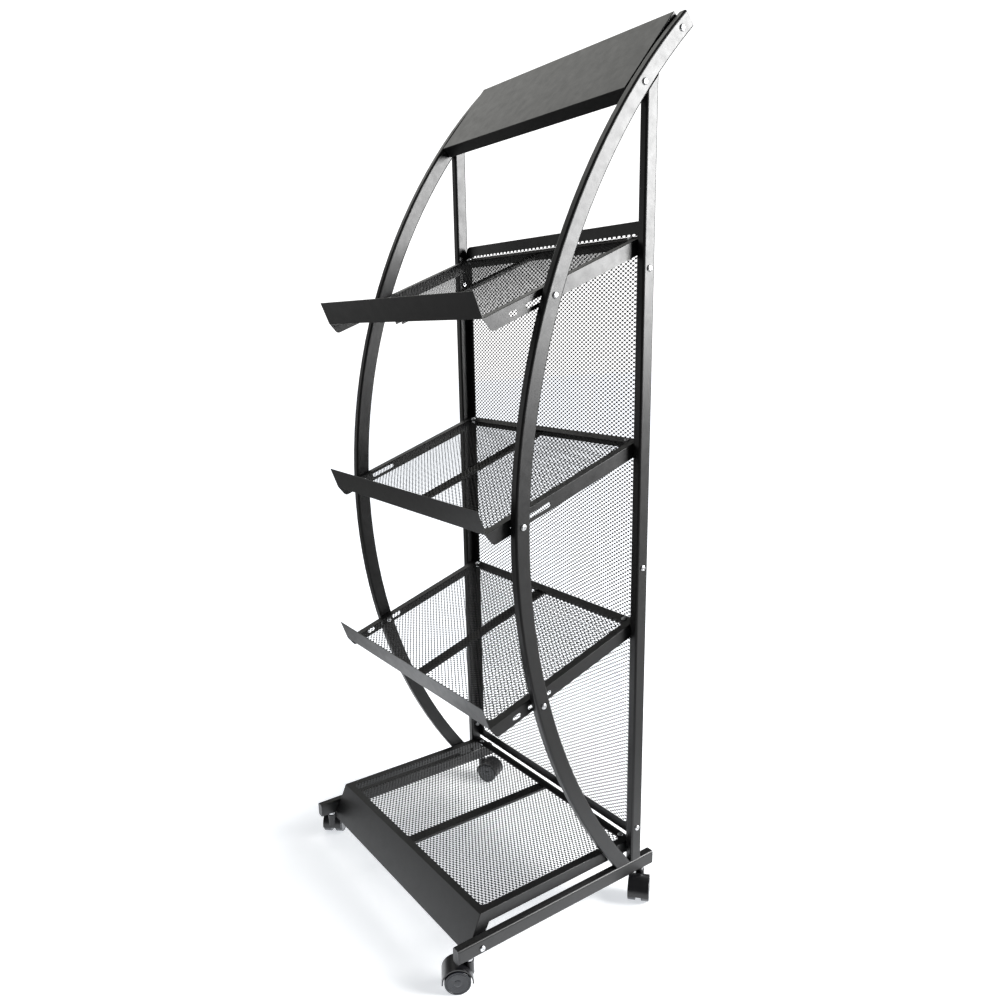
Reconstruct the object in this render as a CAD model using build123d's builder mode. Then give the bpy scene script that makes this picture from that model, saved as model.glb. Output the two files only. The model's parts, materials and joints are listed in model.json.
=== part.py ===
from build123d import *

import os
from math import asin, cos, degrees, radians, sin, sqrt, tan

# Newspaper rack: two tubular side frames on castors, a mesh back panel,
# three tilted shelves, a bottom shelf with a sloping fascia and a header board.
# Millimetres. +Z is up, the rack faces -Y, X = 0 is the middle of its width, and
# the origin is on the floor, midway between the four castor stems.

# ---- side frames ----
overall_width = 500.0
tube_width = 15.0            # across the rack, every frame tube
tube_wall = 1.2
tube_corner = 3.5            # outer corner radius of the tubes
rail_height = 25.0
rail_bottom = 50.0           # above the floor
rail_span = 400.0            # over the end plugs
post_front = 149.0           # front face of the rear posts
post_depth = 22.0
bow_centre_y = 897.6         # centre of the circle that both curved tubes follow
bow_centre_z = 669.7
bow_radius = 981.4           # outer, front edge of the curved tube
bow_depth = 25.0
bow_top_angle = 46.2         # above the horizontal through the circle's centre
bow_foot_angle = 37.0        # below it; the tube goes on straight from here to the rail
bow_straight = 40.0          # straight foot before it is cut off level with the rail
post_overrun = 200.0         # posts are cut to the bow from this far above the panel

plug_cap = 1.5               # end plugs of the rails and the curved tubes
plug_tongue = 12.0
plug_gap = 0.1               # round the tongue, inside the bore
plug_inset = 0.2             # the cap's rim stands back from the tube's faces

# ---- sheet metal ----
sheet = 1.0
panel_bottom = 109.0
panel_top = 1105.0
panel_front = 167.0          # front face of the back panel
panel_flange = 17.0
panel_flange_stop = 14.0     # the side flanges end this far below the top
panel_corner = 12.0
panel_border = 17.0          # plain border round the panel's mesh
panel_flange_corner = 4.0
panel_gap = 0.2              # between the panel's flanges and the posts
shelf_half_width = 233.0
shelf_depth = 306.0
shelf_rear = 165.0
lip_height = 36.0
flange_height = 21.0
flange_setback = 7.0         # the side flanges start this far behind the lip
flange_corner = 7.0          # lower front corner of the side flanges
sheet_bend = 0.9             # outer radius of the folds
slot_drop = 12.3             # slots sit this far below the shelf's top face
slot_width = 7.0
short_slot = (48.0, 15.0)    # distance of its middle behind the lip, length
long_slot = (93.0, 46.0)
shelves = {                  # height of the rear edge, tilt in degrees
    "upper": (1084.0, 21.8),
    "middle": (791.0, 19.9),
    "lower": (501.0, 19.3),
}
bottom_level = 104.0         # top face of the bottom shelf
bottom_front = -148.5
bottom_flange = 20.0
fascia_length = 64.3
fascia_slope = 66.4          # below the horizontal
fascia_tab = 24.0            # depth of the side tabs behind the fascia
header_foot_y = 121.9        # lower front edge of the header board
header_foot_z = 1271.2
header_height = 142.5
header_slope = 50.0
header_flange = 20.0
header_top_flange = 12.0

# ---- mesh: expanded steel, a plain sheet as thick as its raised strands ----
mesh_thickness = 1.4
mesh_lap = 6.0               # under the border at the sides and at the panel's edges
side_border = 14.0           # plain borders round a shelf's mesh
rear_border = 15.0
front_border = 12.0
window_corner = 8.0
mesh_rear = 12.6             # rear edge of a shelf's mesh, clear of the angle
strip_width = 20.0           # channel under the middle of each shelf's mesh
strip_depth = 4.5
strip_gauge = 1.2

# ---- angles under the rear edges of the shelves ----
angle_leg = 14.0
angle_drop = 16.0
angle_gauge = 1.5
angle_length = 450.0

# ---- fasteners ----
screw_radius = 2.5
screw_head_radius = 4.6
screw_head_height = 2.4
nut_flats = 8.0
nut_height = 4.0
panel_screw_heights = (136.0, 592.0, 1038.0)
fascia_screw_y = -157.5
fascia_screw_z = 60.0
corner_screw_x = 212.0       # screws in the rear corners of the shelves
corner_screw_inset = 7.5
corner_screw_length = 8.0
spacer_radius = 6.5
screw_end = 1.0              # a screw's end stands this far out of its nut
screw_clearance = 0.1        # radial, every screw hole
cut_depth = 8.0              # length of the cutters for holes, more than any seat's thickness

# ---- castors ----
castor_inset = 23.0          # stem from the end of the rail
castor_trail = 18.0          # wheels behind the stem
wheel_radius = 20.0
wheel_thickness = 13.5
wheel_inner = 4.6            # inner face of a wheel from the castor's middle
hood_radius = 24.0
hood_wall = 2.0
hood_half_width = 17.4
web_half = 3.6
axle_radius = 3.0
stem_radius = 4.0
castor_nut_radius = 5.9      # round nut inside the rail, tapered to clear the tube's corners
castor_nut_foot = 4.25
castor_nut_taper = 1.65
castor_nut_height = 5.0
axle_half_length = 15.0
boss_radius = 7.5
boss_top = 46.0
boss_height = 22.0
collar_radius = 6.2
collar_gap = 0.6
stem_foot = 27.0
stem_reach = 12.0            # into the rail
stem_clearance = 0.2         # radial, where a stem enters the rail
hood_skirt = 2.0             # the hood reaches this far below the axle
axle_boss_radius = 7.0
wheel_bore_depth = 11.0
wheel_edge = 1.2
running_gap = 0.05           # radial, on the stem and on the axle
castor_turn = {              # swivel angle of each castor's axle, about +Z
    "front_right": -31.0,
    "rear_right": 41.0,
    "rear_left": 120.5,
    "front_left": -132.0,
}

tube_x = overall_width / 2 - tube_width / 2
inner_x = overall_width / 2 - tube_width
rail_top = rail_bottom + rail_height
post_middle = post_front + post_depth / 2
bow_inner = bow_radius - bow_depth
bow_middle = bow_radius - bow_depth / 2
sides = {"left": -1, "right": 1}
BASE = (Align.CENTER, Align.CENTER, Align.MIN)
HANG = (Align.CENTER, Align.CENTER, Align.MAX)

os.makedirs("parts", exist_ok=True)


def save(part, label):
    part.label = label
    export_step(part, f"parts/{label}.step")


def bow_point(radius, angle):
    """Point of the bow circle, angle in degrees above the horizontal."""
    a = radians(angle)
    return bow_centre_y - radius * cos(a), bow_centre_z + radius * sin(a)


def shelf_plane(name):
    """Plane of a shelf's top face: origin at its rear edge, local Y up the slope."""
    rear_z, tilt = shelves[name]
    a = radians(tilt)
    return Plane(origin=(0, shelf_rear, rear_z), x_dir=(1, 0, 0), z_dir=(0, -sin(a), cos(a)))


def pivot(name):
    """Where a shelf's line of slots crosses the middle of the curved tubes."""
    rear_z, tilt = shelves[name]
    a = radians(tilt)
    y0 = shelf_rear + slot_drop * sin(a) - bow_centre_y
    z0 = rear_z - slot_drop * cos(a) - bow_centre_z
    b = y0 * cos(a) + z0 * sin(a)
    c = y0 * y0 + z0 * z0 - bow_middle ** 2
    t = -b - sqrt(b * b - c)
    return bow_centre_y + y0 + t * cos(a), bow_centre_z + z0 + t * sin(a), t + shelf_depth


header_plane = Plane(
    origin=(0, header_foot_y, header_foot_z),
    x_dir=(1, 0, 0),
    z_dir=(0, -sin(radians(header_slope)), cos(radians(header_slope))),
)
pivots = {name: pivot(name) for name in shelves}
header_rows = [bow_point(bow_middle, angle) for angle in (38.9, 45.0)]
for name, (y, z, behind) in pivots.items():
    print(f"{name} shelf pivot y {y:.1f} z {z:.1f}, {behind:.1f} behind the lip")


# ---- side frames ----
def tube_section(depth):
    RectangleRounded(tube_width, depth, tube_corner)
    RectangleRounded(
        tube_width - 2 * tube_wall,
        depth - 2 * tube_wall,
        tube_corner - tube_wall,
        mode=Mode.SUBTRACT,
    )


def bow_band(x, width, inset, corner):
    """A stretch of the bow with a straight foot; inset thins it front and back."""
    centre = (bow_centre_y, bow_centre_z)
    start = 180 - bow_top_angle
    turn = bow_top_angle + bow_foot_angle
    with BuildPart() as band:
        with BuildSketch(Plane.YZ.offset(x - width / 2)):
            with BuildLine():
                front = CenterArc(centre, bow_radius - inset, start, turn)
                back = CenterArc(centre, bow_inner + inset, start, turn)
                front_foot = Line(front @ 1, front @ 1 + front % 1 * bow_straight)
                back_foot = Line(back @ 1, back @ 1 + back % 1 * bow_straight)
                Line(front @ 0, back @ 0)
                Line(front_foot @ 1, back_foot @ 1)
            make_face()
        extrude(amount=width)
        fillet(band.edges().filter_by(lambda edge: edge.length > bow_depth), corner)
    return band.part


def side_holes(seats, length=cut_depth):
    """Screw holes along X."""
    with Locations(*seats):
        Cylinder(screw_radius + screw_clearance, length, rotation=(0, 90, 0), mode=Mode.SUBTRACT)


def cross_holes(places, x_middle):
    """Screw holes right through a tube, at (y, z) places."""
    side_holes([(x_middle, y, z) for y, z in places], tube_width + cut_depth)


def near(a, b):
    return abs(a - b) < 0.01


def round_folds(on_fold, plane=Plane.XY, longer_than=100.0):
    """Rounds the outer edges of folds; on_fold tests an edge's middle in the plane's axes."""
    fillet(
        [
            edge
            for edge in edges()
            if edge.length > longer_than and on_fold(plane.to_local_coords(edge.center()))
        ],
        sheet_bend,
    )


rail_half = rail_span / 2 - plug_cap
stem_y = rail_span / 2 - castor_inset
for side, sign in sides.items():
    x = sign * tube_x
    rail_plane = Plane(
        origin=(x, -rail_half, rail_bottom + rail_height / 2), x_dir=(1, 0, 0), z_dir=(0, 1, 0)
    )
    with BuildPart() as base_rail:
        with BuildSketch(rail_plane):
            tube_section(rail_height)
        extrude(amount=2 * rail_half)
        cross_holes([(fascia_screw_y, fascia_screw_z)], x)
        with Locations((x, -stem_y, rail_bottom), (x, stem_y, rail_bottom)):
            Cylinder(stem_radius + stem_clearance, cut_depth, mode=Mode.SUBTRACT)
    save(base_rail.part, f"base_rail_{side}")

    with BuildPart() as rear_post:
        with BuildSketch(Plane(origin=(x, post_middle, rail_top))):
            tube_section(post_depth)
        extrude(amount=panel_top + post_overrun - rail_top)
        with Locations((x, bow_centre_y, bow_centre_z)):
            Cylinder(bow_inner, tube_width + cut_depth, rotation=(0, 90, 0), mode=Mode.INTERSECT)
        cross_holes([(post_middle, z) for z in panel_screw_heights], x)
    save(rear_post.part, f"rear_post_{side}")

    with BuildPart() as curved_tube:
        add(bow_band(x, tube_width, 0, tube_corner))
        add(bow_band(x, tube_width - 2 * tube_wall, tube_wall, tube_corner - tube_wall), mode=Mode.SUBTRACT)
        split(bisect_by=Plane.XY.offset(rail_top), keep=Keep.TOP)
        cross_holes([(y, z) for y, z, _ in pivots.values()] + header_rows, x)
    save(curved_tube.part, f"curved_tube_{side}")


# ---- plastic end plugs ----
def plug(plane, depth):
    """A cap on the tube's end with a tongue that fills the bore; plane looks outwards."""
    bore = 2 * (tube_wall + plug_gap)
    with BuildSketch(plane) as cap:
        RectangleRounded(tube_width - 2 * plug_inset, depth - 2 * plug_inset, tube_corner - plug_inset)
    with BuildSketch(plane) as tongue:
        RectangleRounded(tube_width - bore, depth - bore, tube_corner - tube_wall)
    extrude(cap.sketch, amount=plug_cap)
    extrude(tongue.sketch, amount=-plug_tongue)


with BuildPart() as rail_end_plugs:
    for sign in sides.values():
        for end in (-1, 1):
            origin = (sign * tube_x, end * rail_half, rail_bottom + rail_height / 2)
            plug(Plane(origin=origin, x_dir=(1, 0, 0), z_dir=(0, end, 0)), rail_height)
save(rail_end_plugs.part, "rail_end_plugs")

top_y, top_z = bow_point(bow_middle, bow_top_angle)
a = radians(bow_top_angle)
with BuildPart() as curved_tube_plugs:
    for sign in sides.values():
        origin = (sign * tube_x, top_y, top_z)
        plug(Plane(origin=origin, x_dir=(1, 0, 0), z_dir=(0, sin(a), cos(a))), bow_depth)
save(curved_tube_plugs.part, "curved_tube_plugs")


# ---- back panel: mesh in a flat frame between the posts, side flanges turned forwards ----
panel_half = inner_x - panel_gap
panel_middle = (panel_bottom + panel_top) / 2
panel_window = (2 * (panel_half - panel_border), panel_top - panel_bottom - 2 * panel_border)
panel_seats = [(s * panel_half, post_middle, z) for s in (-1, 1) for z in panel_screw_heights]
with BuildPart() as back_panel:
    with BuildSketch(Plane(origin=(0, panel_front, 0), x_dir=(1, 0, 0), z_dir=(0, -1, 0))):
        with Locations((0, panel_middle)):
            Rectangle(2 * panel_half, panel_top - panel_bottom)
        fillet(vertices().group_by(Axis.Y)[-1], panel_corner)
        with Locations((0, panel_middle)):
            RectangleRounded(*panel_window, window_corner, mode=Mode.SUBTRACT)
    extrude(amount=-sheet)
    flange_height_along_post = panel_top - panel_flange_stop - panel_bottom
    for sign in sides.values():
        with BuildSketch(Plane(origin=(sign * panel_half, 0, 0), x_dir=(0, 1, 0), z_dir=(1, 0, 0))):
            with Locations((panel_front + sheet, panel_bottom + flange_height_along_post / 2)):
                flange = Rectangle(panel_flange, flange_height_along_post, align=(Align.MAX, Align.CENTER))
            fillet(flange.vertices().group_by(Axis.X)[0], panel_flange_corner)
        extrude(amount=-sign * sheet)
    side_holes(panel_seats)
    round_folds(lambda p: near(abs(p.X), panel_half) and near(p.Y, panel_front + sheet))
save(back_panel.part, "back_panel")

with BuildPart() as panel_mesh:
    with Locations((0, panel_front + sheet, panel_middle)):
        Box(
            panel_window[0] + 2 * mesh_lap,
            mesh_thickness,
            panel_window[1] + 2 * mesh_lap,
            align=(Align.CENTER, Align.MIN, Align.CENTER),
        )
save(panel_mesh.part, "panel_mesh")

# ---- floors of the shelves: a framed sheet over mesh and a middle strip ----
floors = {name: (shelf_plane(name), shelf_depth) for name in shelves}
floors["bottom"] = (Plane(origin=(0, shelf_rear, bottom_level)), shelf_rear - bottom_front)


def framed_floor(plane, depth):
    """A shelf's top sheet with the window for its mesh."""
    with BuildSketch(plane) as face:
        with Locations((0, -depth / 2)):
            Rectangle(2 * shelf_half_width, depth)
        with Locations((0, (front_border - rear_border - depth) / 2)):
            RectangleRounded(
                2 * (shelf_half_width - side_border),
                depth - front_border - rear_border,
                window_corner,
                mode=Mode.SUBTRACT,
            )
    extrude(face.sketch, amount=-sheet)


def corner_holes(plane):
    """Screw holes in the rear corners of a shelf and through what lies under them."""
    for sign in sides.values():
        with BuildSketch(plane) as hole:
            with Locations((sign * corner_screw_x, -corner_screw_inset)):
                Circle(screw_radius + screw_clearance)
        extrude(hole.sketch, amount=-cut_depth, mode=Mode.SUBTRACT)


for name, (plane, depth) in floors.items():
    with BuildPart(plane) as mesh:
        with Locations((0, -mesh_rear, -sheet)):
            Box(
                2 * (shelf_half_width - side_border + mesh_lap),
                depth - front_border + mesh_lap - mesh_rear,
                mesh_thickness,
                align=(Align.CENTER, Align.MAX, Align.MAX),
            )
    save(mesh.part, f"{name}_shelf_mesh")

with BuildPart() as strips:
    for plane, depth in floors.values():
        strip_length = depth - front_border + mesh_lap - mesh_rear
        rear_end = plane.from_local_coords((0, -mesh_rear, -sheet - mesh_thickness))
        with BuildSketch(Plane(origin=rear_end, x_dir=(1, 0, 0), z_dir=-plane.y_dir)) as channel:
            Rectangle(strip_width, strip_depth, align=(Align.CENTER, Align.MAX))
            with Locations((0, -strip_gauge)):
                Rectangle(
                    strip_width - 2 * strip_gauge,
                    strip_depth,
                    align=(Align.CENTER, Align.MAX),
                    mode=Mode.SUBTRACT,
                )
        extrude(channel.sketch, amount=strip_length)
save(strips.part, "shelf_centre_strips")

# ---- tilted shelves: trays with a raised front lip and slotted side flanges ----
for name, (rear_z, tilt) in shelves.items():
    plane = shelf_plane(name)
    t = radians(tilt)
    with BuildPart(plane) as shelf:
        framed_floor(plane, shelf_depth)
        with Locations((0, -shelf_depth, 0)):
            Box(2 * shelf_half_width, sheet, lip_height, align=(Align.CENTER, Align.MIN, Align.MIN))
        for sign in sides.values():
            flange_plane = Plane(
                origin=plane.from_local_coords((sign * shelf_half_width, 0, 0)),
                x_dir=plane.y_dir,
                z_dir=plane.x_dir,
            )
            with BuildSketch(flange_plane):
                with BuildLine():
                    Polyline(
                        (-shelf_depth, 0),
                        (0, 0),
                        (-flange_height * tan(t), -flange_height),
                        (flange_setback - shelf_depth, -flange_height),
                        close=True,
                    )
                make_face()
                fillet(vertices().group_by(Axis.Y)[0].sort_by(Axis.X)[0], flange_corner)
                for middle, length in (short_slot, long_slot):
                    with Locations((middle - shelf_depth, -slot_drop)):
                        SlotOverall(length, slot_width, mode=Mode.SUBTRACT)
            extrude(amount=-sign * sheet)
        round_folds(
            lambda p: (near(abs(p.X), shelf_half_width) and near(p.Z, 0))
            or (near(p.Y, -shelf_depth) and near(p.Z, -sheet)),
            plane,
        )
        corner_holes(plane)
    save(shelf.part, f"{name}_shelf")

    # one leg of the angle lies under the shelf, the other against the panel
    bend_z = rear_z - sheet / cos(t) + (panel_front - shelf_rear) * tan(t)
    leg_end = (panel_front - angle_leg * cos(t), bend_z - angle_leg * sin(t))
    with BuildPart() as shelf_angle:
        with BuildSketch(Plane.YZ.offset(-angle_length / 2)):
            with BuildLine():
                Polyline(
                    (panel_front, bend_z),
                    leg_end,
                    (leg_end[0] + angle_gauge * sin(t), leg_end[1] - angle_gauge * cos(t)),
                    (panel_front - angle_gauge, bend_z - angle_gauge * (tan(t) + 1 / cos(t))),
                    (panel_front - angle_gauge, bend_z - angle_drop),
                    (panel_front, bend_z - angle_drop),
                    close=True,
                )
            make_face()
        extrude(amount=angle_length)
        corner_holes(plane)
    save(shelf_angle.part, f"{name}_shelf_angle")


# ---- bottom shelf: level tray whose front folds down into a sloping fascia ----
slope = radians(fascia_slope)
fascia_foot = (
    bottom_front - fascia_length * cos(slope),
    bottom_level - fascia_length * sin(slope),
)
fascia_behind = (fascia_foot[0] + sheet * sin(slope), fascia_foot[1] - sheet * cos(slope))
bottom_plane, bottom_depth = floors["bottom"]
tab_top_setback = 8.0        # the side tabs narrow by this much up to the flanges
tab_rise = 6.0
with BuildPart() as bottom_shelf:
    framed_floor(*floors["bottom"])
    with BuildSketch(Plane.YZ.offset(-shelf_half_width)):
        with BuildLine():
            Polyline(
                (bottom_front, bottom_level),
                fascia_foot,
                fascia_behind,
                (bottom_front + sheet * tan(slope / 2), bottom_level - sheet),
                close=True,
            )
        make_face()
    extrude(amount=2 * shelf_half_width)
    for sign in sides.values():
        with BuildSketch(Plane.YZ.offset(sign * shelf_half_width)):
            with BuildLine():
                Polyline(
                    (bottom_front, bottom_level),
                    (shelf_rear, bottom_level),
                    (shelf_rear, bottom_level - bottom_flange),
                    (bottom_front + fascia_tab - tab_top_setback, bottom_level - bottom_flange),
                    (fascia_foot[0] + fascia_tab, fascia_foot[1] + tab_rise),
                    fascia_foot,
                    close=True,
                )
            make_face()
        extrude(amount=-sign * sheet)
    round_folds(
        lambda p: (near(abs(p.X), shelf_half_width) and (near(p.Z, 0) or p.Y < -bottom_depth))
        or (near(p.Y, -bottom_depth) and near(p.Z, 0)),
        bottom_plane,
        longer_than=0.9 * fascia_length,
    )
    side_holes([(s * shelf_half_width, fascia_screw_y, fascia_screw_z) for s in (-1, 1)])
    corner_holes(bottom_plane)
save(bottom_shelf.part, "bottom_shelf")

# ---- cross bar between the posts: its top leg carries the rear of the bottom shelf ----
under = bottom_level - sheet
leg_clearance = 0.3          # between the top leg's ends and the shelf's side flanges
with BuildPart() as cross_bar:
    with BuildSketch(Plane.YZ.offset(-inner_x)):
        with Locations((panel_front, under)):
            Rectangle(angle_leg, angle_gauge, align=(Align.MAX, Align.MAX))
            Rectangle(angle_gauge, angle_drop, align=(Align.MAX, Align.MAX))
    extrude(amount=2 * inner_x)
    with Locations(*[(s * inner_x, panel_front - angle_gauge, under) for s in (-1, 1)]):
        Box(
            2 * (inner_x - shelf_half_width + sheet + leg_clearance),
            angle_leg,
            4 * angle_gauge,
            align=(Align.CENTER, Align.MAX, Align.CENTER),
            mode=Mode.SUBTRACT,
        )
    corner_holes(bottom_plane)
save(cross_bar.part, "bottom_cross_bar")

# ---- header board: shallow folded box between the tops of the curved tubes ----
with BuildPart(header_plane) as header_board:
    Box(2 * shelf_half_width, header_height, sheet, align=(Align.CENTER, Align.MIN, Align.MAX))
    Box(2 * shelf_half_width, sheet, header_flange, align=(Align.CENTER, Align.MIN, Align.MAX))
    with Locations((0, header_height, 0)):
        Box(
            2 * shelf_half_width,
            sheet,
            header_top_flange,
            align=(Align.CENTER, Align.MAX, Align.MAX),
        )
    with Locations((-shelf_half_width, 0, 0), (shelf_half_width - sheet, 0, 0)):
        Box(sheet, header_height, header_flange, align=(Align.MIN, Align.MIN, Align.MAX))
    header_seats = [
        header_plane.to_local_coords(Vector(s * shelf_half_width, y, z))
        for s in (-1, 1)
        for y, z in header_rows
    ]
    round_folds(
        lambda p: near(p.Z, 0)
        and (near(abs(p.X), shelf_half_width) or near(p.Y, 0) or near(p.Y, header_height)),
        header_plane,
    )
    side_holes(header_seats)
save(header_board.part, "header_board")


# ---- fasteners ----
def side_planes(places, x):
    """Planes looking outwards, right and left, at (y, z) places."""
    return [
        Plane(origin=(s * x, y, z), x_dir=(0, 1, 0), z_dir=(s, 0, 0))
        for s in (-1, 1)
        for y, z in places
    ]


def screws(planes, length, label):
    """Pan head screws: each plane is a seat and looks the way the head stands."""
    with BuildPart(*planes) as group:
        Cylinder(screw_head_radius, screw_head_height / 2, align=BASE)
        Cylinder(screw_radius, length, align=HANG)
        with Locations((0, 0, screw_head_height / 2)):
            Cone(screw_head_radius, screw_head_radius * 0.6, screw_head_height / 2, align=BASE)
    save(group.part, label)


def nuts(planes, label):
    """Hex nuts: each plane is a seat and the nut stands on its far side."""
    with BuildPart() as group:
        for plane in planes:
            with BuildSketch(plane):
                RegularPolygon(nut_flats / sqrt(3), 6)
                Circle(screw_radius, mode=Mode.SUBTRACT)
            extrude(amount=-nut_height)
    save(group.part, label)


outer_x = overall_width / 2
pivot_places = [(y, z) for y, z, _ in pivots.values()]
flange_inside = shelf_half_width - sheet
screws(side_planes(pivot_places, outer_x), outer_x - flange_inside + nut_height + screw_end, "shelf_side_screws")
nuts(side_planes(pivot_places, flange_inside), "shelf_side_nuts")
with BuildPart(*side_planes(pivot_places, inner_x)) as shelf_spacers:
    Cylinder(spacer_radius, inner_x - shelf_half_width, align=HANG)
    Cylinder(screw_radius, cut_depth, mode=Mode.SUBTRACT)
save(shelf_spacers.part, "shelf_spacers")

panel_places = [(post_middle, z) for z in panel_screw_heights]
panel_inside = panel_half - sheet
screws(side_planes(panel_places, outer_x), outer_x - panel_inside + nut_height + screw_end, "panel_screws")
nuts(side_planes(panel_places, panel_inside), "panel_nuts")

screws(side_planes(header_rows, outer_x), outer_x - flange_inside + nut_height + screw_end, "header_screws")
nuts(side_planes(header_rows, flange_inside), "header_nuts")

fascia_places = [(fascia_screw_y, fascia_screw_z)]
screws(side_planes(fascia_places, outer_x), outer_x - flange_inside + nut_height + screw_end, "fascia_screws")
nuts(side_planes(fascia_places, flange_inside), "fascia_nuts")

corner_seats = []
corner_undersides = []
for plane, _ in floors.values():
    for s in (-1, 1):
        above = (s * corner_screw_x, -corner_screw_inset, 0)
        below = (s * corner_screw_x, -corner_screw_inset, -sheet - angle_gauge)
        corner_seats.append(Plane(origin=plane.from_local_coords(above), z_dir=plane.z_dir))
        corner_undersides.append(Plane(origin=plane.from_local_coords(below), z_dir=plane.z_dir))
screws(corner_seats, corner_screw_length, "shelf_corner_screws")
nuts(corner_undersides, "shelf_corner_nuts")

# ---- castors: stem fixed to the rail, hood swivels on it, two wheels on one axle ----
stem_places = {
    "front_right": (tube_x, -stem_y),
    "rear_right": (tube_x, stem_y),
    "rear_left": (-tube_x, stem_y),
    "front_left": (-tube_x, -stem_y),
}
rail_inside = rail_bottom + tube_wall
with BuildPart() as castor_nuts:
    with Locations(*[(x, y, rail_inside) for x, y in stem_places.values()]):
        Cone(castor_nut_foot, castor_nut_radius, castor_nut_taper, align=BASE)
    with Locations(*[(x, y, rail_inside + castor_nut_taper) for x, y in stem_places.values()]):
        Cylinder(castor_nut_radius, castor_nut_height, align=BASE)
    with Locations(*[(x, y, rail_inside) for x, y in stem_places.values()]):
        Cylinder(stem_radius, rail_height, mode=Mode.SUBTRACT)
save(castor_nuts.part, "castor_nuts")

for place, (x, y) in stem_places.items():
    with BuildPart() as stem:
        with Locations((x, y, stem_foot)):
            Cylinder(stem_radius, rail_inside + stem_reach - stem_foot, align=BASE)
        with Locations((x, y, boss_top + collar_gap)):
            Cylinder(collar_radius, rail_bottom - boss_top - collar_gap, align=BASE)
    save(stem.part, f"castor_stem_{place}")

    # the castor's own frame: local X along the axle, wheels at local -Y
    turned = Plane(origin=(x, y, 0)).rotated((0, 0, castor_turn[place]))
    axle_plane = Plane(
        origin=turned.from_local_coords((0, -castor_trail, wheel_radius)),
        x_dir=turned.y_dir,
        z_dir=turned.x_dir,
    )
    with BuildPart() as hood:
        with BuildSketch(axle_plane.offset(-hood_half_width)):
            Circle(hood_radius)
            Circle(hood_radius - hood_wall, mode=Mode.SUBTRACT)
        extrude(amount=2 * hood_half_width)
        with BuildSketch(axle_plane.offset(-web_half)):
            Circle(hood_radius - hood_wall / 2)
        extrude(amount=2 * web_half)
        split(bisect_by=Plane.XY.offset(wheel_radius - hood_skirt), keep=Keep.TOP)
        with BuildSketch(axle_plane.offset(-web_half)):
            Circle(axle_boss_radius)
        extrude(amount=2 * web_half)
        with Locations((x, y, boss_top)):
            Cylinder(boss_radius, boss_height, align=HANG)
        for sign in (-1, 1):
            with BuildSketch(axle_plane.offset(sign * web_half)):
                Circle(wheel_radius + wheel_edge)
            extrude(amount=sign * hood_radius, mode=Mode.SUBTRACT)
        with BuildSketch(axle_plane.offset(-hood_radius)):
            Circle(axle_radius)
        extrude(amount=2 * hood_radius, mode=Mode.SUBTRACT)
        with Locations((x, y, stem_foot - collar_gap)):
            Cylinder(stem_radius + running_gap, boss_top, align=BASE, mode=Mode.SUBTRACT)
    save(hood.part, f"castor_hood_{place}")

    with BuildPart() as axle:
        with BuildSketch(axle_plane.offset(-axle_half_length)):
            Circle(axle_radius)
        extrude(amount=2 * axle_half_length)
    save(axle.part, f"castor_axle_{place}")

    for half, sign in (("outer", 1), ("inner", -1)):
        with BuildPart() as wheel:
            with BuildSketch(axle_plane.offset(sign * wheel_inner)):
                Circle(wheel_radius)
            extrude(amount=sign * wheel_thickness)
            fillet(wheel.edges().filter_by(GeomType.CIRCLE), wheel_edge)
            with BuildSketch(axle_plane.offset(sign * (wheel_inner - wheel_edge))):
                Circle(axle_radius + running_gap)
            extrude(amount=sign * (wheel_bore_depth + wheel_edge), mode=Mode.SUBTRACT)
        save(wheel.part, f"castor_wheel_{place}_{half}")
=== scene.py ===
import json
from math import cos, pi, radians, sin, sqrt

import bmesh
import bpy
from mathutils import Matrix, Vector


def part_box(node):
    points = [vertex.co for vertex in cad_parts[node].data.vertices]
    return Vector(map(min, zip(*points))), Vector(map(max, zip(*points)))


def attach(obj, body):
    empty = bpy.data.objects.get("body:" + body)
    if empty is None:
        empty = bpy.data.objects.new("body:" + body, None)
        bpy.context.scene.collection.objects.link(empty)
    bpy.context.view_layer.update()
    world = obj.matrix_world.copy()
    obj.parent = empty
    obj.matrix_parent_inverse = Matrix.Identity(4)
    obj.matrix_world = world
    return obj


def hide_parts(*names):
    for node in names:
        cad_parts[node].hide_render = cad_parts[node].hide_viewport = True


# Newspaper rack: mesh shelves and back panel, screws, castor wheels and weld beads
# are built here; tubes, sheet frames and castor hoods stay as the CAD makes them.
# Metres. +Z is up, the rack faces -Y.

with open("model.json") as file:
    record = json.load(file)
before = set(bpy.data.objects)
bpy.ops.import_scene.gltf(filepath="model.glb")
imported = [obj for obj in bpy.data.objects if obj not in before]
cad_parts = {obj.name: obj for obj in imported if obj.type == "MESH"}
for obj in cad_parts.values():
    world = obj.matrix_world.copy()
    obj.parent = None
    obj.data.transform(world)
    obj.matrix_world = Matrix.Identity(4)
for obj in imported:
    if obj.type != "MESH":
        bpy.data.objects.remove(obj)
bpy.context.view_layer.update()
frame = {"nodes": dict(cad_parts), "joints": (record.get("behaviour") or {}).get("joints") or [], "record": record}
nodes = frame["nodes"]
record = frame["record"]
joints = {joint["name"]: joint for joint in frame["joints"]}
mounts = {mount["name"]: mount for mount in record["mounts"]}
scene = bpy.context.scene

MM = 0.001
BODY = "frame"

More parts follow.
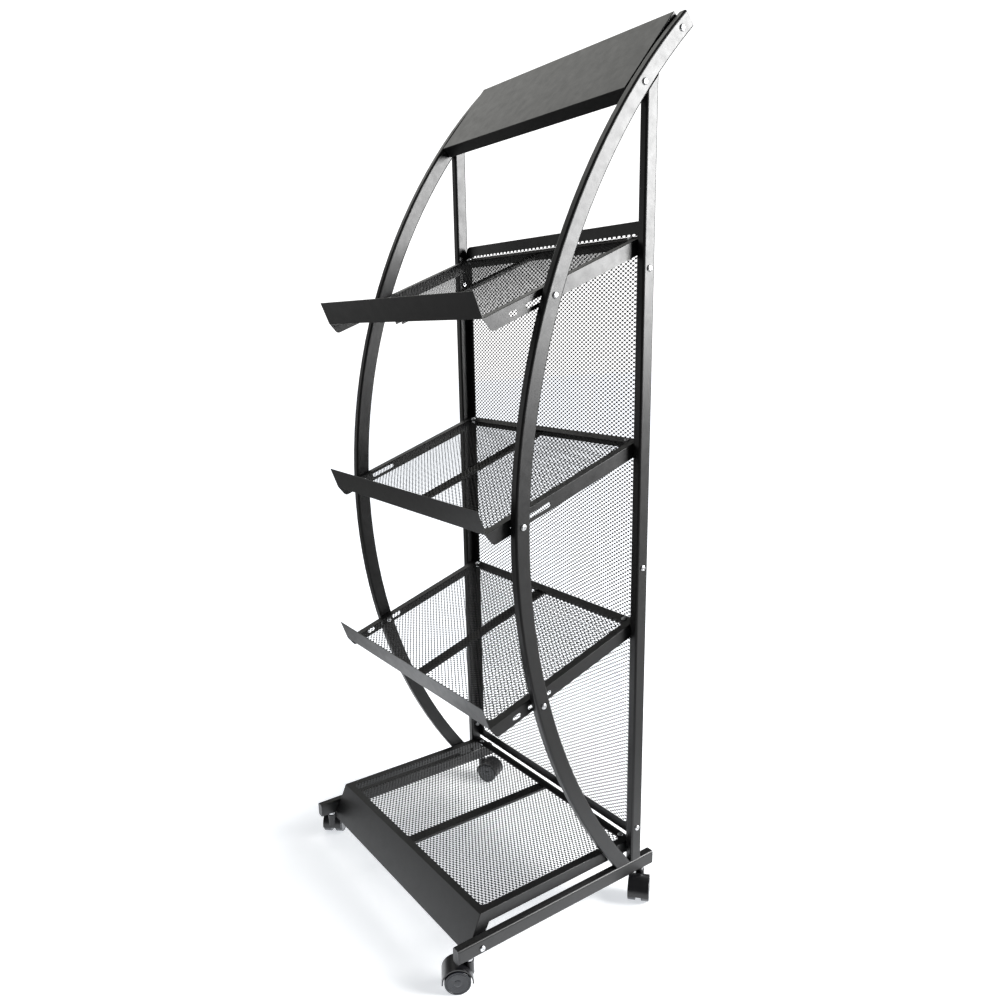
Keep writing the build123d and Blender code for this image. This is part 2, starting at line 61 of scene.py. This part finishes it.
# ---- expanded mesh ----
LONG_WAY = 10.4 * MM         # pitch across the rack
SHORT_WAY = 6.5 * MM         # pitch along the depth or height
ROW = SHORT_WAY / 2          # from one row of bonds to the next
STRAND_THICKNESS = 0.4 * MM
STRAND_WAIST = 0.22          # width of a strand's middle, as a share of its ends
BOND_HALF_HEIGHT = 1.4 * MM
BOND_HALF_LENGTH = 1.8 * MM
BOND_LIFT = 0.5 * MM         # how far a bond's edges stand off its middle, times the tilt
SHELF_TILT = -1.0            # which way a bond leans, and how far
BOTTOM_TILT = 0.2
PANEL_TILT = 0.4
PANEL_PARTS = ("lower", "middle", "upper")

# ---- screws ----
HEAD_RADIUS = 4.6 * MM
HEAD_HEIGHT = 2.4 * MM
CROSS_HALF_WIDTH = 0.45 * MM
CROSS_HALF_LENGTH = 2.1 * MM
CROSS_DEPTH = 1.1 * MM
CROSS_FADE = 0.25            # share of the cross over which its ends run out
CROSS_EDGE = 0.25 * MM       # width of the slope at its sides
CROSS_FIRST_TURN = 0.3       # radians; each screw of a node stops a step further round
CROSS_TURN_STEP = 0.7
SHANK_RADIUS = 2.5 * MM
THREAD_PITCH = 0.8 * MM
HEAD_TOP_BAND = 0.5 * MM     # CAD points this close to the top of a screw are on its head

# ---- studio ----
FLOOR_GLOW = 1.35            # painted glow: light that the floor beside the rack gives off, for reflections and bounces
FLOOR_GLOW_PLACE = (-0.15, -0.1, 0.0)
FLOOR_GLOW_COLOUR = (0.93, 0.96, 1.0, 1)
# painted glow of the floor as the camera sees it, weaker beside the rack and stronger away from it
FLOOR_CAMERA_GLOW_NEAR = 0.65
FLOOR_CAMERA_GLOW_FAR = 1.3

# ---- weld beads ----
BEAD_RADIUS = 1.3 * MM
BEAD_LENGTH = 12 * MM
BEAD_RIPPLE = 1.7 * MM       # from one ripple to the next
SAME_PLACE = 0.05 * MM       # CAD points this close to a plane are on it


def link(name, mesh, material, body=BODY):
    """A new piece that rides on a CAD body and takes its finish from a slot."""
    obj = bpy.data.objects.new(name, mesh)
    scene.collection.objects.link(obj)
    mesh.materials.append(material)
    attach(obj, body)
    return obj


# ---- materials ----
def new_material(name):
    """A material with its node tree and its shader."""
    material = bpy.data.materials.new(name)
    material.use_nodes = True
    tree = material.node_tree
    shader = tree.nodes["Principled BSDF"]
    return material, tree, shader


def noise(tree, scale, detail=3.0, roughness=0.5):
    """Noise that keeps its place on the object."""
    coordinates = tree.nodes.new("ShaderNodeTexCoord")
    texture = tree.nodes.new("ShaderNodeTexNoise")
    texture.inputs["Scale"].default_value = scale
    texture.inputs["Detail"].default_value = detail
    texture.inputs["Roughness"].default_value = roughness
    tree.links.new(coordinates.outputs["Object"], texture.inputs["Vector"])
    return texture.outputs["Fac"]


def spread(tree, value, low, high, from_low=0.3, from_high=0.7):
    """Maps a noise value to the range low to high."""
    node = tree.nodes.new("ShaderNodeMapRange")
    node.inputs["From Min"].default_value = from_low
    node.inputs["From Max"].default_value = from_high
    node.inputs["To Min"].default_value = low
    node.inputs["To Max"].default_value = high
    tree.links.new(value, node.inputs["Value"])
    return node.outputs["Result"]


def mix_colour(tree, value, first, second):
    """Colour between first and second, by a value from 0 to 1."""
    node = tree.nodes.new("ShaderNodeMix")
    node.data_type = "RGBA"
    node.inputs["A"].default_value = (*first, 1)
    node.inputs["B"].default_value = (*second, 1)
    tree.links.new(value, node.inputs["Factor"])
    return node.outputs["Result"]


def bump(tree, height, strength, distance):
    """Surface normal roughened by a height."""
    node = tree.nodes.new("ShaderNodeBump")
    node.inputs["Strength"].default_value = strength
    node.inputs["Distance"].default_value = distance
    tree.links.new(height, node.inputs["Height"])
    return node.outputs["Normal"]


def coated_surface(name, dark, light, rough, grain, grain_depth, metallic=0.0, specular=0.5):
    """A surface with cloudy colour and roughness over a fine grain."""
    material, tree, shader = new_material(name)
    shader.inputs["Metallic"].default_value = metallic
    shader.inputs["Specular IOR Level"].default_value = specular
    clouds = noise(tree, 14, detail=4)
    tree.links.new(mix_colour(tree, spread(tree, clouds, 0, 1), dark, light), shader.inputs["Base Color"])
    patches = noise(tree, 60, detail=5, roughness=0.65)
    tree.links.new(spread(tree, patches, *rough), shader.inputs["Roughness"])
    texture = noise(tree, grain, detail=2)
    tree.links.new(bump(tree, texture, 0.35, grain_depth), shader.inputs["Normal"])
    return material


powder_coat = coated_surface(
    "black_powder_coat", (0.0035, 0.0036, 0.0038), (0.0065, 0.0066, 0.007), (0.33, 0.42), 900, 0.0001
)
mesh_coat = coated_surface(
    "black_mesh_coat", (0.003, 0.003, 0.0032), (0.005, 0.005, 0.0053), (0.40, 0.52), 1200, 0.00006
)
hood_plastic = coated_surface(
    "black_hood_plastic", (0.004, 0.004, 0.005), (0.007, 0.007, 0.008), (0.28, 0.38), 1400, 0.00006
)
wheel_plastic = coated_surface(
    "blue_black_wheel_plastic", (0.008, 0.010, 0.014), (0.013, 0.015, 0.020), (0.22, 0.34), 700, 0.00004
)
plug_plastic = coated_surface(
    "black_plug_plastic", (0.010, 0.010, 0.011), (0.015, 0.015, 0.017), (0.38, 0.50), 1100, 0.00008
)
zinc = coated_surface(
    "bright_zinc", (0.66, 0.67, 0.69), (0.82, 0.83, 0.84), (0.26, 0.38), 1600, 0.00003, metallic=1.0
)
steel = coated_surface(
    "turned_steel", (0.42, 0.42, 0.43), (0.58, 0.58, 0.59), (0.24, 0.38), 1800, 0.00004, metallic=1.0
)

SLOT_MATERIALS = {
    "black_powder_coat": powder_coat,
    "zinc_screw": zinc,
    "black_plastic": hood_plastic,
    "wheel_plastic": wheel_plastic,
    "plug_plastic": plug_plastic,
    "bright_steel": steel,
}
for subpart in record["subparts"]:
    slots = nodes[subpart["node"]].data.materials
    slots.clear()
    slots.append(SLOT_MATERIALS[subpart["material_slot"]])


# ---- expanded mesh of the shelves and the back panel ----
def bond_outline():
    """Corners of a bond at the origin, and how far each stands off the sheet's plane."""
    tall, wide = BOND_HALF_HEIGHT, BOND_HALF_LENGTH
    corners = [(-wide, -tall), (wide, -tall), (wide, 0), (wide, tall), (-wide, tall), (-wide, 0)]
    return [(x, y, y / tall * BOND_LIFT) for x, y in corners]


def expanded_mesh(name, width, rows, place, tilt, first=0.0, start_half=False, end_half=False):
    """
    Expanded steel sheet: bonds in staggered rows with slanting strands between them.
    place takes local X, Y (along the length) and Z (the sheet's normal) to the frame.
    The first row of bonds is at local Y = first, and tilt says how its bonds lean.
    A half row at either end lets two sheets meet along the middle of a row of bonds.
    """
    columns = int(width / LONG_WAY) * 2 - 1
    outline = bond_outline()
    under = len(outline)
    vertices = []
    index = {}
    for row in range(rows + 1):
        for column in range(columns):
            if (row + column) % 2 == 0:
                index[row, column] = len(vertices)
                x = (column - (columns - 1) / 2) * LONG_WAY / 2
                y = first + row * ROW
                for side in (1, -1):
                    for dx, dy, dz in outline:
                        z = tilt * dz + side * STRAND_THICKNESS / 2
                        vertices.append((x + dx, y + dy, z))

    faces = []

    def plate(corners):
        """Both faces of a plate whose upper corners are given, counter-clockwise."""
        faces.append(corners)
        faces.append([corner + under for corner in reversed(corners)])

    def wall(a, b):
        """Edge of the sheet below the upper edge a to b, with the metal on its left."""
        faces.append([a, a + under, b + under, b])

    def strand(p, q, r, s):
        """Strand from the bond edge p-q to r-s, with a waist halfway."""
        a, b, a_below, b_below = range(len(vertices), len(vertices) + 4)
        for below in (0, under):
            ends = [Vector(vertices[corner + below]) for corner in (p, q, r, s)]
            left, right = (ends[0] + ends[2]) / 2, (ends[1] + ends[3]) / 2
            vertices.append(left.lerp(right, (1 - STRAND_WAIST) / 2)[:])
            vertices.append(right.lerp(left, (1 - STRAND_WAIST) / 2)[:])
        faces.extend(
            [
                [p, a, b, q],
                [a, r, s, b],
                [q + under, b_below, a_below, p + under],
                [b_below, s + under, r + under, a_below],
                [p, p + under, a_below, a],
                [a, a_below, r + under, r],
                [s, s + under, b_below, b],
                [b, b_below, q + under, q],
            ]
        )

    for (row, column), a in index.items():
        lower = not (start_half and row == 0)
        upper = not (end_half and row == rows)
        right_up = index.get((row + 1, column + 1))
        left_up = index.get((row + 1, column - 1))
        right_down = index.get((row - 1, column + 1))
        left_down = index.get((row - 1, column - 1))
        if lower:
            plate([a, a + 1, a + 2, a + 5])
            wall(a, a + 1)
            if right_down is None:
                wall(a + 1, a + 2)
            if left_down is None:
                wall(a + 5, a)
        else:
            wall(a + 5, a + 2)
        if upper:
            plate([a + 5, a + 2, a + 3, a + 4])
            wall(a + 3, a + 4)
            if right_up is None:
                wall(a + 2, a + 3)
            if left_up is None:
                wall(a + 4, a + 5)
        else:
            wall(a + 2, a + 5)
        if right_up is not None:
            strand(a + 2, a + 3, right_up, right_up + 5)
        if left_up is not None:
            strand(left_up + 1, left_up + 2, a + 5, a + 4)

    mesh = bpy.data.meshes.new(name)
    mesh.from_pydata(vertices, [], faces)
    bm = bmesh.new()
    bm.from_mesh(mesh)
    loose = [v for v in bm.verts if not v.link_faces]
    bmesh.ops.delete(bm, geom=loose, context="VERTS")
    bm.to_mesh(mesh)
    bm.free()
    mesh.transform(place)
    mesh.update()
    return mesh


def mesh_place(middle, along, normal):
    """Matrix from a sheet's own axes to the frame, X across the rack."""
    across = along.cross(normal)
    matrix = Matrix((across, along, normal)).transposed().to_4x4()
    return Matrix.Translation(middle) @ matrix


def shelf_mesh(shelf, tilt):
    """Mesh of a shelf, between the planes of its CAD sheet."""
    node = f"{shelf}_shelf_mesh"
    normal = Vector(mounts[f"{shelf}_shelf_floor"]["axis"]).normalized()
    along = Vector((0, normal.z, -normal.y))
    points = [Vector(v.co) for v in nodes[node].data.vertices]
    runs = [p.dot(along) for p in points]
    heights = [p.dot(normal) for p in points]
    low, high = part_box(node)
    front = along * min(runs) + normal * (min(heights) + max(heights)) / 2
    place = mesh_place(front, along, normal)
    rows = int((max(runs) - min(runs) - 2 * BOND_HALF_HEIGHT) / ROW)
    mesh = expanded_mesh(node, high.x - low.x, rows, place, tilt, first=BOND_HALF_HEIGHT)
    piece = link(f"{shelf}_shelf_expanded_mesh", mesh, mesh_coat)
    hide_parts(node)


for shelf_name in ("upper", "middle", "lower"):
    shelf_mesh(shelf_name, SHELF_TILT)
shelf_mesh("bottom", BOTTOM_TILT)


def panel_mesh():
    """Mesh of the back panel, in parts that meet along the middle of a row of bonds."""
    low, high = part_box("panel_mesh")
    panel_start = low.z + BOND_HALF_HEIGHT
    panel_rows = int((high.z - low.z - 2 * BOND_HALF_HEIGHT) / (2 * ROW)) * 2
    part_rows = (panel_rows // (2 * len(PANEL_PARTS)) + 1) * 2
    for number, part in enumerate(PANEL_PARTS):
        start = Vector((0, (low.y + high.y) / 2, panel_start + number * part_rows * ROW))
        mesh = expanded_mesh(
            f"panel_mesh_{part}",
            high.x - low.x,
            min(part_rows, panel_rows - number * part_rows),
            mesh_place(start, Vector((0, 0, 1)), Vector((0, -1, 0))),
            PANEL_TILT,
            start_half=number > 0,
            end_half=number < len(PANEL_PARTS) - 1,
        )
        piece = link(f"panel_expanded_mesh_{part}", mesh, mesh_coat)
        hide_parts("panel_mesh")


panel_mesh()


# ---- pan head screws with a cross recess ----
def islands(node):
    """Centres and corners of a node's separate solids."""
    mesh = nodes[node].data
    points = {}
    for vertex in mesh.vertices:
        points.setdefault(tuple(round(c, 6) for c in vertex.co), []).append(vertex.index)
    owner = {}
    for members in points.values():
        for member in members:
            owner[member] = members[0]

    def root(i):
        i = owner[i]
        while owner[i] != i:
            owner[i] = owner[owner[i]]
            i = owner[i]
        return i

    for edge in mesh.edges:
        a, b = (root(v) for v in edge.vertices)
        if a != b:
            owner[a] = b
    groups = {}
    for vertex in mesh.vertices:
        groups.setdefault(root(vertex.index), []).append(vertex.co.copy())
    return list(groups.values())


def in_cross(x, y):
    """How deep the cross recess is at a point of the head, from 0 to 1."""
    depth = 0.0
    for a, b in ((x, y), (y, x)):
        side = 1 - max(0.0, abs(a) - CROSS_HALF_WIDTH) / CROSS_EDGE
        end = 1 - max(0.0, abs(b) - CROSS_HALF_LENGTH * (1 - CROSS_FADE)) / (CROSS_HALF_LENGTH * CROSS_FADE)
        depth = max(depth, min(1.0, max(0.0, side)) * min(1.0, max(0.0, end)))
    return depth


def screw_mesh(name, length):
    """Screw on local Z with its seat at the origin, head upwards."""
    rings, spokes = 14, 40
    profile = [(0.0, HEAD_HEIGHT)]
    for i in range(1, rings + 1):
        share = i / rings
        drop = 1 - sqrt(max(0.0, 1 - share ** 3.2))
        profile.append((HEAD_RADIUS * share, HEAD_HEIGHT * (1 - 0.72 * drop)))
    profile.append((HEAD_RADIUS, HEAD_HEIGHT * 0.08))
    profile.append((HEAD_RADIUS * 0.96, 0.0))
    profile.append((SHANK_RADIUS, 0.0))
    for i in range(int(length / THREAD_PITCH)):
        z = -(i + 0.5) * THREAD_PITCH
        profile.append((SHANK_RADIUS * 0.9, z + THREAD_PITCH / 4))
        profile.append((SHANK_RADIUS, z - THREAD_PITCH / 4))
    profile.append((SHANK_RADIUS * 0.85, -length))
    bm = bmesh.new()
    top = bm.verts.new((0, 0, HEAD_HEIGHT - CROSS_DEPTH))
    previous = None
    for step, (radius, z) in enumerate(profile[1:]):
        ring = []
        for k in range(spokes):
            angle = 2 * pi * k / spokes
            x, y = radius * cos(angle), radius * sin(angle)
            sink = CROSS_DEPTH * in_cross(x, y) if step < rings else 0.0
            ring.append(bm.verts.new((x, y, z - sink)))
        for k in range(spokes):
            after = (k + 1) % spokes
            if previous is None:
                bm.faces.new((top, ring[k], ring[after]))
            else:
                bm.faces.new((previous[k], ring[k], ring[after], previous[after]))
        previous = ring
    bm.faces.new(list(reversed(previous)))
    bmesh.ops.recalc_face_normals(bm, faces=bm.faces)
    mesh = bpy.data.meshes.new(name)
    bm.to_mesh(mesh)
    bm.free()
    return mesh


def smooth(mesh, angle=35):
    """Smooth shading, sharp where faces meet at more than angle degrees."""
    mesh.shade_smooth()
    mesh.set_sharp_from_angle(angle=radians(angle))


def replace_screws(node, axis_of):
    """Detailed screws in place of a node's plain ones, joined into one piece."""
    bm = bmesh.new()
    for number, points in enumerate(islands(node)):
        axis = axis_of(points)
        along = [p.dot(axis) for p in points]
        length = max(along) - min(along) - HEAD_HEIGHT
        head = [p for p in points if p.dot(axis) > max(along) - HEAD_TOP_BAND]
        middle = sum(head, Vector()) / len(head)
        seat = middle + axis * (max(along) - HEAD_HEIGHT - middle.dot(axis))
        mesh = screw_mesh("screw", length)
        turn = Matrix.Rotation(CROSS_TURN_STEP * number + CROSS_FIRST_TURN, 4, "Z")
        mesh.transform(Matrix.Translation(seat) @ axis.to_track_quat("Z", "Y").to_matrix().to_4x4() @ turn)
        bm.from_mesh(mesh)
        bpy.data.meshes.remove(mesh)
    joined = bpy.data.meshes.new(f"{node}_detailed")
    bm.to_mesh(joined)
    bm.free()
    smooth(joined)
    piece = link(f"{node}_with_cross_recess", joined, zinc)
    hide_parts(node)


def outwards(points):
    """Away from the rack, to the side that the screw is on."""
    middle = sum(points, Vector()) / len(points)
    return Vector((1 if middle.x > 0 else -1, 0, 0))


def shelf_normal(points):
    """Normal of the shelf floor that the screw stands on."""
    middle = sum(points, Vector()) / len(points)
    floors = [mounts[name] for name in mounts if name.endswith("_shelf_floor")]

    def height_off(floor):
        return abs((middle - Vector(floor["pos_m"])).dot(Vector(floor["axis"])))

    return Vector(min(floors, key=height_off)["axis"]).normalized()


for screws in ("shelf_side_screws", "panel_screws", "header_screws", "fascia_screws"):
    replace_screws(screws, outwards)
replace_screws("shelf_corner_screws", shelf_normal)


# ---- castor wheels, turned with a rim step, a dished face and a hub cap ----
def lathe(name, profile, segments=96):
    """Turns a profile of (distance along, radius) points, from axis to axis, about local Z."""
    bm = bmesh.new()
    start, end = (bm.verts.new((0, 0, z)) for z, radius in (profile[0], profile[-1]))
    rings = []
    for z, radius in profile[1:-1]:
        rings.append(
            [
                bm.verts.new((radius * cos(2 * pi * k / segments), radius * sin(2 * pi * k / segments), z))
                for k in range(segments)
            ]
        )
    for k in range(segments):
        n = (k + 1) % segments
        bm.faces.new((start, rings[0][n], rings[0][k]))
        bm.faces.new((end, rings[-1][k], rings[-1][n]))
        for ring, after in zip(rings, rings[1:]):
            bm.faces.new((ring[k], ring[n], after[n], after[k]))
    bmesh.ops.recalc_face_normals(bm, faces=bm.faces)
    mesh = bpy.data.meshes.new(name)
    bm.to_mesh(mesh)
    bm.free()
    return mesh


def arc(z, radius, corner, start, end, steps=5):
    """Points of a rounded corner about (z, radius), angles in degrees."""
    angles = [radians(start + (end - start) * i / steps) for i in range(steps + 1)]
    return [(z + corner * cos(a), radius + corner * sin(a)) for a in angles]


def wheel_piece(place, half):
    """One wheel of a castor, on the joint and within the width of its CAD solid."""
    node = f"castor_wheel_{place}_{half}"
    joint = joints[f"roll_{place}_{half}"]
    sign = 1 if half == "outer" else -1
    axis = Vector(joint["axis"]).normalized() * sign
    centre = Vector(joint["pos_m"])
    along = [v.co.dot(axis) - centre.dot(axis) for v in nodes[node].data.vertices]
    inner, outer = min(along), max(along)
    off_axis = [(v.co - centre - axis * (v.co - centre).dot(axis)).length for v in nodes[node].data.vertices]
    radius = max(off_axis)
    bore = min(r for r in off_axis if r > 1 * MM)
    bore_end = max(run for run, r in zip(along, off_axis) if r < bore + 0.1 * MM and run < outer - 1 * MM)
    edge = 1.2 * MM
    profile = (
        [(bore_end, 0.0), (bore_end, bore), (inner, bore)]
        + arc(inner + edge, radius - edge, edge, 180, 90)
        + arc(outer - edge, radius - edge, edge, 90, 0)
        + [
            (outer, radius - 2.6 * MM),
            (outer - 0.5 * MM, radius - 2.9 * MM),
            (outer - 0.5 * MM, radius - 3.5 * MM),
            (outer - 0.1 * MM, radius - 3.9 * MM),
            (outer - 0.25 * MM, radius * 0.62),
            (outer - 0.55 * MM, radius * 0.40),
            (outer - 0.9 * MM, radius * 0.30),
            (outer - 0.5 * MM, radius * 0.27),
            (outer - 0.3 * MM, radius * 0.16),
            (outer - 0.25 * MM, 0.0),
        ]
    )
    mesh = lathe(f"{node}_turned", profile)
    smooth(mesh, 40)
    mesh.transform(Matrix.Translation(centre) @ axis.to_track_quat("Z", "Y").to_matrix().to_4x4())
    piece = link(
        f"castor_wheel_disc_{place}_{half}", mesh, wheel_plastic, f"wheel_{place}_{half}"
    )
    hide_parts(node)


for place in ("front_right", "rear_right", "rear_left", "front_left"):
    for half in ("outer", "inner"):
        wheel_piece(place, half)


# ---- weld beads across the feet and the tops of the posts and the curved tubes ----
def add_bead(bm, centre):
    """Rippled bead along X."""
    stations, spokes = 49, 12
    previous = None
    for i in range(stations):
        share = 2 * i / (stations - 1) - 1
        x = share * BEAD_LENGTH / 2
        radius = BEAD_RADIUS * (0.04 + 0.96 * sqrt(max(0.0, 1 - share ** 8)))
        radius *= 1 + 0.1 * cos(2 * pi * x / BEAD_RIPPLE)
        ring = []
        for k in range(spokes):
            angle = 2 * pi * k / spokes
            ring.append(bm.verts.new(centre + Vector((x, radius * cos(angle), radius * sin(angle)))))
        if previous is None:
            bm.faces.new(ring)
        else:
            for k in range(spokes):
                after = (k + 1) % spokes
                bm.faces.new((previous[k], ring[k], ring[after], previous[after]))
        previous = ring
    bm.faces.new(list(reversed(previous)))


def height_at(node, y, pick):
    """Lowest or highest point of a node where its surface is at y."""
    return pick(v.co.z for v in nodes[node].data.vertices if abs(v.co.y - y) < SAME_PLACE)


def weld_beads():
    """Beads where the posts and the curved tubes meet the rails and each other."""
    bm = bmesh.new()
    for side in ("left", "right"):
        post, tube = f"rear_post_{side}", f"curved_tube_{side}"
        low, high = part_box(post)
        x = (low.x + high.x) / 2
        foot = [v.co.y for v in nodes[tube].data.vertices if v.co.z < low.z + SAME_PLACE]
        for y in (low.y, high.y):
            add_bead(bm, Vector((x, y, low.z)))
            add_bead(bm, Vector((x, y, height_at(post, y, max))))
        add_bead(bm, Vector((x, min(foot), low.z)))
    bmesh.ops.recalc_face_normals(bm, faces=bm.faces)
    mesh = bpy.data.meshes.new("weld_beads")
    bm.to_mesh(mesh)
    bm.free()
    smooth(mesh)
    link("weld_beads", mesh, powder_coat)


weld_beads()


# ---- studio: pale floor, soft lights and the camera ----
def stage_floor():
    """White floor with painted light: it glows brightest beside the rack for reflections and bounces, turns darker
    grey away from the rack (painted shade), and to the camera glows more away from the rack, fading to the white
    of the background.
    """
    material, tree, shader = new_material("pale_floor")
    shader.inputs["Roughness"].default_value = 0.6
    cloud = noise(tree, 1.5)
    coordinates = tree.nodes.new("ShaderNodeTexCoord")
    distance = tree.nodes.new("ShaderNodeVectorMath")
    distance.operation = "DISTANCE"
    distance.inputs[1].default_value = FLOOR_GLOW_PLACE
    tree.links.new(coordinates.outputs["Object"], distance.inputs[0])
    # painted pool of light: 1 beside the rack, 0 further out
    near = spread(tree, distance.outputs["Value"], 1, 0, 0.35, 0.95)
    paper = mix_colour(tree, spread(tree, cloud, 0, 1), (0.80, 0.80, 0.80), (0.83, 0.83, 0.825))
    # painted shade: the floor's colour turns dark grey away from the rack
    shade = tree.nodes.new("ShaderNodeMix")
    shade.data_type = "RGBA"
    shade.inputs["A"].default_value = (0.3, 0.3, 0.3, 1)
    tree.links.new(near, shade.inputs["Factor"])
    tree.links.new(paper, shade.inputs["B"])
    tree.links.new(shade.outputs["Result"], shader.inputs["Base Color"])
    # painted glow: reflections and bounces see the pool beside the rack, the camera sees a glow that grows away
    # from the rack
    path = tree.nodes.new("ShaderNodeLightPath")
    middle = tree.nodes.new("ShaderNodeVectorMath")
    middle.operation = "LENGTH"
    tree.links.new(coordinates.outputs["Object"], middle.inputs[0])
    seen = spread(tree, middle.outputs["Value"], FLOOR_CAMERA_GLOW_NEAR, FLOOR_CAMERA_GLOW_FAR, 0.35, 0.8)
    glow = spread(tree, near, 0, FLOOR_GLOW, 0, 1)
    strength = tree.nodes.new("ShaderNodeMix")
    tree.links.new(path.outputs["Is Camera Ray"], strength.inputs["Factor"])
    tree.links.new(glow, strength.inputs["A"])
    tree.links.new(seen, strength.inputs["B"])
    shader.inputs["Emission Color"].default_value = FLOOR_GLOW_COLOUR
    tree.links.new(strength.outputs["Result"], shader.inputs["Emission Strength"])
    size = 12.0
    mesh = bpy.data.meshes.new("floor")
    mesh.from_pydata(
        [(-size, -size, 0), (size, -size, 0), (size, size, 0), (-size, size, 0)], [], [(0, 1, 2, 3)]
    )
    mesh.materials.append(material)
    floor = bpy.data.objects.new("floor", mesh)
    scene.collection.objects.link(floor)


def soft_light(name, place, aim, width, height, power, colour=(1, 1, 1)):
    """Rectangular light at place, turned towards aim."""
    data = bpy.data.lights.new(name, "AREA")
    data.shape = "RECTANGLE"
    data.size = width
    data.size_y = height
    data.energy = power
    data.color = colour
    light = bpy.data.objects.new(name, data)
    light.location = place
    light.rotation_euler = (Vector(aim) - Vector(place)).to_track_quat("-Z", "Y").to_euler()
    scene.collection.objects.link(light)


def set_world(seen, cast):
    """White to the camera, softer as a source of light."""
    world = bpy.data.worlds.new("studio")
    world.use_nodes = True
    scene.world = world
    tree = world.node_tree
    surface = tree.nodes["Background"]
    surface.inputs["Color"].default_value = (1, 1, 1, 1)
    path = tree.nodes.new("ShaderNodeLightPath")
    strength = tree.nodes.new("ShaderNodeMapRange")
    strength.inputs["To Min"].default_value = cast
    strength.inputs["To Max"].default_value = seen
    tree.links.new(path.outputs["Is Camera Ray"], strength.inputs["Value"])
    tree.links.new(strength.outputs["Result"], surface.inputs["Strength"])


def set_camera():
    """The camera of the photograph, as a place, three turns and a lens."""
    yaw, pitch, roll = radians(53.99), radians(-13.88), radians(-0.94)
    forward = Vector((-sin(yaw) * cos(pitch), cos(yaw) * cos(pitch), sin(pitch)))
    level_right = forward.cross(Vector((0, 0, 1))).normalized()
    level_up = level_right.cross(forward)
    right = level_right * cos(roll) + level_up * sin(roll)
    up = level_up * cos(roll) - level_right * sin(roll)
    data = bpy.data.cameras.new("camera")
    data.sensor_width = 36.0
    data.lens = 30.0
    data.shift_x = -0.01175
    data.shift_y = 0.03352
    camera = bpy.data.objects.new("camera", data)
    camera.matrix_world = Matrix.Translation((1.1383, -0.7366, 0.9587)) @ Matrix(
        (right, up, -forward)
    ).transposed().to_4x4()
    scene.collection.objects.link(camera)
    scene.camera = camera


stage_floor()
set_world(seen=1.35, cast=0.12)
soft_light("rear_right_window", (2.3, 2.4, 1.85), (0.1, 0.1, 1.2), 2.0, 1.9, 290)
soft_light("upper_left_softbox", (-1.95, 0.4, 2.95), (0, 0.15, 1.3), 2.4, 2.4, 20, (1.0, 1.0, 0.96))
soft_light("left_front_fill", (-2.3, -1.9, 0.9), (0, 0, 0.6), 2.4, 1.8, 7)
set_camera()
scene.view_settings.view_transform = "Standard"
